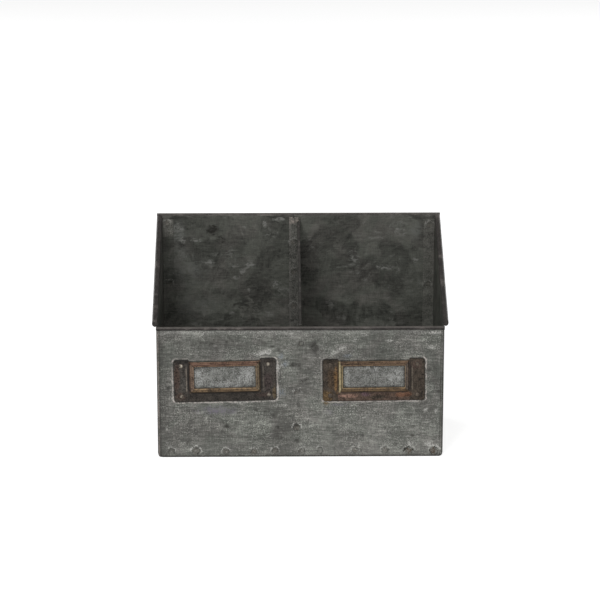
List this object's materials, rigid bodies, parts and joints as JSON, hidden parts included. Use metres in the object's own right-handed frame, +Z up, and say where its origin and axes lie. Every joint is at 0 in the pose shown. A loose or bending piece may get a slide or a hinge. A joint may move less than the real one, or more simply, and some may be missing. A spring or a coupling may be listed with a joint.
{
  "type": "cutlery holder",
  "caption": "Free-standing sheet-metal cutlery holder: low front, tall back, sloping sides and divider with wired rims, and riveted label frames on the front.",
  "frame": {"origin": "under the middle of the holder, on the surface that it stands on", "axes": "+X to the right seen from the front, +Y towards the tall back, +Z up"},
  "size_m": [0.2032, 0.1006, 0.152],
  "materials": {
    "zinc_sheet": "galvanised sheet with a dull, mottled grey patina",
    "rim_wire": "plain steel wire, darkened",
    "aged_brass": "dark, rusty bronze patina with golden edges",
    "rivet_metal": "dull, darkened rivet heads"
  },
  "bodies": {
    "root": {"front_panel": "zinc_sheet", "back_panel": "zinc_sheet", "left_side_panel": "zinc_sheet", "right_side_panel": "zinc_sheet", "base_pan": "zinc_sheet", "divider": "zinc_sheet", "front_rim_wire": "rim_wire", "back_rim_wire": "rim_wire", "left_rim_wire": "rim_wire", "right_rim_wire": "rim_wire", "left_label_frame": "aged_brass", "right_label_frame": "aged_brass", "left_label_rivets": "rivet_metal", "right_label_rivets": "rivet_metal"}
  },
  "joints": []
}
